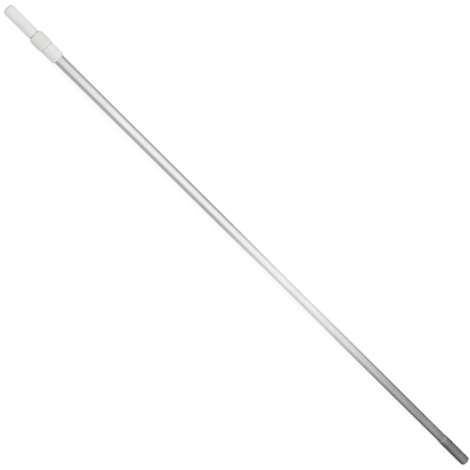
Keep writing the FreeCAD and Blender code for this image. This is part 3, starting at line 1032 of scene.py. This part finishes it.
@dataclass
class InnerPole:
    """Inner section: sliding tube with its rolled groove, plugs, hand grip and grip screw."""

    tube_r: float = 12.5 * MM
    wall: float = 1.0 * MM
    groove_depth: float = 0.6 * MM
    groove_width: float = 3.0 * MM
    groove_station: float = 14.0 * MM
    groove_round: float = 0.5 * MM
    tube_run: float = 40.0 * MM
    crown: float = 5.2 * MM
    crown_edge: float = 3.0 * MM
    foot_round: float = 1.0 * MM
    end_wall: float = 8.8 * MM
    grip_run: float = 6.0 * MM
    screw_station: float = 14.0 * MM
    screw_head_r: float = 2.8 * MM
    screw_shank_r: float = 1.45 * MM
    screw_sink: float = 1.65 * MM
    screw_tip_r: float = 9.0 * MM
    screw_lead: float = 1.0 * MM
    overshoot: float = 1.2   # where the screw's drill starts, in grip radii
    segments: int = 144

    def build(self, bench: Bench) -> None:
        """Makes the tube and the grip and dresses the frame's own pieces.

        Args:
            bench: the frame, lathe and finishes.
        """
        tube_low, tube_high = bench.ends("inner_tube")
        tube = bench.lathe.turn(
            "inner_tube_drawn",
            self.tube_outline(tube_low, tube_high),
            bench.finishes[Slot.TUBE],
            segments=self.segments,
        )
        grip_low, grip_high = bench.ends("hand_grip")
        grip = bench.lathe.turn(
            "hand_grip_moulded",
            self.grip_outline(grip_low, grip_high, bench.reach("hand_grip")),
            bench.finishes[Slot.MOULDING],
            segments=self.segments,
        )
        for piece in (tube, grip):
            MeshCare.drill(piece, self.screw_cutters(bench, grip_high))
            MeshCare.tidy(piece)
        MeshCare.line_bore(tube, bench.bore)
        bench.stand_in(tube, "inner_tube", "inner_pole")
        bench.stand_in(grip, "hand_grip", "inner_pole")
        bench.dress("head_plug", Slot.PLUG)
        bench.dress("tail_plug", Slot.PLUG)
        bench.dress("grip_screw", Slot.STEEL)

    def tube_outline(self, low: float, high: float) -> Outline:
        """Returns the sliding tube's half outline.

        Args:
            low: station of the end in the grip.
            high: station of the tail.
        """
        middle = high - self.groove_station
        half = self.groove_width / 2

        def side(radius: float) -> list[Corner]:
            """Returns one face of the wall, from the grip to the tail."""
            deep = radius - self.groove_depth
            return [
                (low, radius, 0.0),
                (middle - half, radius, self.groove_round),
                (middle - half / 2, deep, self.groove_round),
                (middle + half / 2, deep, self.groove_round),
                (middle + half, radius, self.groove_round),
                (high, radius, 0.0),
            ]

        corners = side(self.tube_r) + side(self.tube_r - self.wall)[::-1]
        return densify(soften(corners, steps=4), self.tube_run, low, high)

    def grip_outline(self, low: float, high: float, radius: float) -> Outline:
        """Returns the grip's half outline with its shallow dome.

        Args:
            low: station of the dome's top.
            high: station of the grip's foot.
            radius: outside radius.
        """
        dome_r = (radius**2 + self.crown**2) / (2 * self.crown)
        dome_x = low + dome_r
        edge_r = radius - self.crown_edge
        edge_x = dome_x - math.sqrt((dome_r - self.crown_edge) ** 2 - edge_r**2)
        meet = math.acos(edge_r / (dome_r - self.crown_edge))
        outline: Outline = [(high, self.tube_r)]
        outline += rounded((high, radius), (high, 0.0), (low, radius), self.foot_round)
        outline += arc(edge_x, edge_r, self.crown_edge, (0.0, meet), steps=8)
        outline += arc(dome_x, 0.0, dome_r, (meet, math.pi / 2), steps=12)[1:]
        outline += [(low + self.end_wall, 0.0), (low + self.end_wall, self.tube_r)]
        return densify(outline, self.grip_run, low, high)

    def screw_cutters(self, bench: Bench, grip_foot: float) -> list[Piece]:
        """Returns the drill and the countersink under the grip.

        Args:
            bench: the frame, for the grip's radius.
            grip_foot: station of the grip's foot.
        """
        x = grip_foot - self.screw_station
        radius = bench.reach("hand_grip")
        shank = MeshCare.cutter(
            x, -radius * self.overshoot, -self.screw_tip_r, self.screw_shank_r, self.screw_shank_r
        )
        head = MeshCare.cutter(
            x, -radius - self.screw_lead, -radius + self.screw_sink, self.screw_head_r, self.screw_shank_r
        )
        return [shank, head]


@dataclass
class GuideRing:
    """Split ring that steadies the sliding tube's tail."""

    def build(self, bench: Bench) -> None:
        """Dresses the ring.

        Args:
            bench: the frame and finishes.
        """
        bench.dress("guide_ring", Slot.BEARING)


# -------------------- studio


@dataclass(frozen=True)
class SoftPanel:
    """Rectangular soft light that faces a point and leaves no highlight on gloss."""

    name: str
    centre: tuple[float, float, float]
    aim: tuple[float, float, float]
    size: Pair
    radiance: float

    def place(self) -> None:
        """Hangs the light in the scene."""
        data = bpy.data.lights.new(self.name, "AREA")
        data.shape = "RECTANGLE"
        data.size, data.size_y = self.size
        data.energy = self.radiance * math.pi * self.size[0] * self.size[1]
        lamp = put(self.name, data)
        forward = (Vector(self.aim) - Vector(self.centre)).normalized()
        side = POLE_AXIS - forward * POLE_AXIS.dot(forward)
        side.normalize()
        up = (-forward).cross(side)
        turn = Matrix((side, up, -forward)).transposed().to_4x4()
        lamp.matrix_world = Matrix.Translation(self.centre) @ turn
        lamp.visible_glossy = False
        LOG.info("hung light %s", self.name)


@dataclass
class Studio:
    """Floor, sky, soft lights and camera."""

    floor_span: float = 40.0
    sky: float = 0.90
    ground: float = 0.60
    horizon: float = 0.25
    lean_deg: float = 30.0
    lens: float = 76.8
    sensor: float = 36.0
    clip: Pair = (0.05, 100.0)
    camera_x: float = -1.0866
    camera_distance: float = 2.7893
    swing_deg: float = 20.53
    above_deg: float = 36.0
    roll: Pair = (0.71109, 0.70310)
    drop: float = 0.0030
    band_angle: float = 47.5
    band_fade: Pair = (34.0, 76.0)
    band_tones: tuple[Pair, ...] = (
        (-1.0, 0.80), (-0.4, 0.33), (0.05, 0.61), (0.21, 1.21), (0.33, 0.95), (0.42, 1.46), (0.50, 0.37),
        (0.58, 0.14), (0.66, 0.19), (0.85, 0.75), (1.0, 0.80),
    )
    side_tones: tuple[Pair, ...] = (
        (-1.0, 0.60), (-0.4, 0.24), (0.05, 0.39), (0.2, 0.54), (0.335, 0.36), (0.375, 1.08), (0.42, 1.12),
        (0.50, 0.20), (0.58, 0.075), (0.65, 0.07), (0.85, 0.52), (1.0, 0.55),
    )
    back_fade: Pair = (0.55, 0.95)
    back_from: Pair = (0.61, 0.69)
    back_tone: float = 0.80
    panel_x: Pair = (-2.6, 0.8)
    panel_distance: float = 4.2
    key_angle: float = 48.0
    key_width: float = 3.6
    key_radiance: float = 0.70
    card_angle: float = 116.0
    card_width: float = 2.0
    card_radiance: float = 0.14

    def build(self, low: Vector) -> None:
        """Sets the whole stage.

        Args:
            low: the object's lowest corner, which rests on the floor.
        """
        self.lay_floor(low.z)
        self.paint_sky()
        for panel in self.panels():
            panel.place()
        self.set_camera()
        view = bpy.context.scene.view_settings
        view.view_transform = "Standard"
        view.look = "None"
        view.exposure = 0.0
        view.gamma = 1.0

    def lay_floor(self, height: float) -> None:
        """Makes the floor.

        Args:
            height: its level.
        """
        work = bmesh.new()
        bmesh.ops.create_grid(work, x_segments=4, y_segments=4, size=self.floor_span / 2)
        mesh = bpy.data.meshes.new("studio_floor")
        work.to_mesh(mesh)
        work.free()
        mesh.materials.append(PaleFloor().build())
        floor = put("studio_floor", mesh)
        floor.location.z = height
        floor.visible_glossy = False
        floor.visible_diffuse = False
        floor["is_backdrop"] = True

    def paint_sky(self) -> None:
        """Gives a pale leaning dome for matt surfaces, a graded one for gloss, and white for the camera."""
        world = bpy.data.worlds.new("studio_sky")
        bpy.context.scene.world = world
        world.use_nodes = True
        world.cycles.sampling_method = "NONE"
        sheet = NodeSheet(world.node_tree)
        sheet.tree.nodes.clear()
        split = sheet.add("ShaderNodeSeparateXYZ")
        sheet.feed(split.inputs[0], sheet.add("ShaderNodeTexCoord").outputs["Generated"])
        x, y, z = split.outputs
        lean = math.radians(self.lean_deg)
        upward = sheet.times(z, math.cos(lean))
        upward = sheet.plus(upward, sheet.times(y, -math.sin(lean)))
        matt = sheet.ramp(upward, -self.horizon, self.horizon, self.ground, self.sky, smooth=True)
        path = sheet.add("ShaderNodeLightPath")
        mirrored = self.mirrored_sky(sheet, x, y, z)
        seen = sheet.blend(path.outputs["Is Glossy Ray"], matt, mirrored)
        seen = sheet.blend(path.outputs["Is Camera Ray"], seen, 1.0)
        background = sheet.add("ShaderNodeBackground")
        background.inputs["Color"].default_value = (1.0, 1.0, 1.0, 1.0)
        sheet.feed(background.inputs["Strength"], seen)
        output = sheet.add("ShaderNodeOutputWorld")
        sheet.feed(output.inputs[0], background.outputs[0])

    def mirrored_sky(self, sheet: NodeSheet, x: Any, y: Any, z: Any) -> Socket:
        """Returns the brightness that gloss sees, graded along the pole.

        A band above the front horizon has tones of its own, and behind the pole, towards the socket,
        the sky is one plain grey.

        Args:
            sheet: the sky's node tree.
            x: the direction's part along the pole.
            y: the direction's part towards the back.
            z: the direction's part upwards.
        """
        high = math.radians(self.band_angle)
        across = sheet.math("SQRT", sheet.less(1.0001, sheet.times(x, x)))
        facing = sheet.plus(sheet.times(y, -math.cos(high)), sheet.times(z, math.sin(high)))
        facing = sheet.math("DIVIDE", facing, across)
        inner, outer = (math.cos(math.radians(angle)) for angle in self.band_fade)
        band = sheet.ramp(facing, outer, inner, smooth=True)
        side = self.graded(sheet, x, self.side_tones)
        front = sheet.blend(band, side, self.graded(sheet, x, self.band_tones))
        behind = sheet.ramp(sheet.math("DIVIDE", y, across), *self.back_fade, smooth=True)
        behind = sheet.times(behind, sheet.ramp(x, *self.back_from, smooth=True))
        return sheet.blend(behind, front, self.back_tone)

    def graded(self, sheet: NodeSheet, x: Any, tones: Sequence[Pair]) -> Socket:
        """Returns a brightness that changes along the pole.

        Args:
            sheet: the sky's node tree.
            x: the direction's part along the pole.
            tones: (direction, brightness) pairs in rising order.
        """
        curve = sheet.add("ShaderNodeFloatCurve")
        sheet.feed(curve.inputs["Value"], sheet.ramp(x, -1.0, 1.0))
        line = curve.mapping.curves[0]
        points = [((along + 1.0) / 2.0, tone / 2.0) for along, tone in tones]
        line.points[0].location = points[0]
        line.points[1].location = points[-1]
        for place in points[1:-1]:
            line.points.new(*place)
        curve.mapping.update()
        return sheet.times(curve.outputs[0], 2.0)

    def panels(self) -> list[SoftPanel]:
        """Returns the soft lights: a long key above the camera and a dim card behind."""
        middle = sum(self.panel_x) / 2
        span = self.panel_x[1] - self.panel_x[0]
        panels = []
        for name, angle_deg, width, radiance in (
            ("key_panel", self.key_angle, self.key_width, self.key_radiance),
            ("back_card", self.card_angle, self.card_width, self.card_radiance),
        ):
            angle = math.radians(angle_deg)   # above the front horizon, round the pole's axis
            centre = (middle, -self.panel_distance * math.cos(angle), self.panel_distance * math.sin(angle))
            panels.append(SoftPanel(name, centre, (middle, 0.0, 0.0), (span, width), radiance))
        return panels

    def set_camera(self) -> None:
        """Sets the camera: it looks down at the pole from the front, rolled so that the pole lies askew."""
        swing = math.radians(self.swing_deg)
        above = math.radians(self.above_deg)
        towards = Vector((0.0, -math.cos(above), math.sin(above)))
        across = Vector((0.0, math.sin(above), math.cos(above)))
        forward = POLE_AXIS * math.sin(swing) - towards * math.cos(swing)
        along = POLE_AXIS * math.cos(swing) + towards * math.sin(swing)
        right = along * self.roll[0] + across * self.roll[1]
        up = across * self.roll[0] - along * self.roll[1]
        data = bpy.data.cameras.new("studio_camera")
        data.lens = self.lens
        data.sensor_width = self.sensor
        data.clip_start, data.clip_end = self.clip
        camera = put("studio_camera", data)
        turn = Matrix((right, up, -forward)).transposed().to_4x4()
        place = POLE_AXIS * self.camera_x - forward * self.camera_distance - across * self.drop
        camera.matrix_world = Matrix.Translation(place) @ turn
        bpy.context.scene.camera = camera
        LOG.info("camera at %s", tuple(round(value, 4) for value in place))


# -------------------- main


def main() -> None:
    """Builds the whole scene."""
    logging.basicConfig(level=logging.INFO, format="%(name)s: %(message)s")
    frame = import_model()
    frame_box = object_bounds()
    finishes = {
        Slot.TUBE: AnodisedTube().build(),
        Slot.MOULDING: WhiteMoulding().build(),
        Slot.BEARING: SmoothPlastic(
            "finish_bearing_plastic", (0.66, 0.655, 0.63), (0.58, 0.575, 0.55)
        ).build(),
        Slot.PLUG: SmoothPlastic(
            "finish_plug_plastic", (0.055, 0.055, 0.057), (0.035, 0.035, 0.037), 0.45
        ).build(),
        Slot.STEEL: PlatedSteel().build(),
    }
    # the bore's near-black finish is painted shade
    bench = Bench(frame, LatheTree(), finishes, PaintedShadeBore().build())
    assemblies: list[Any] = [OuterPole(), TwistLock(), InnerPole(), GuideRing()]
    for assembly in assemblies:
        assembly.build(bench)
    Studio().build(frame_box[0])
    LOG.info("made %s", ", ".join(bench.made))


if __name__ == "__main__":
    main()
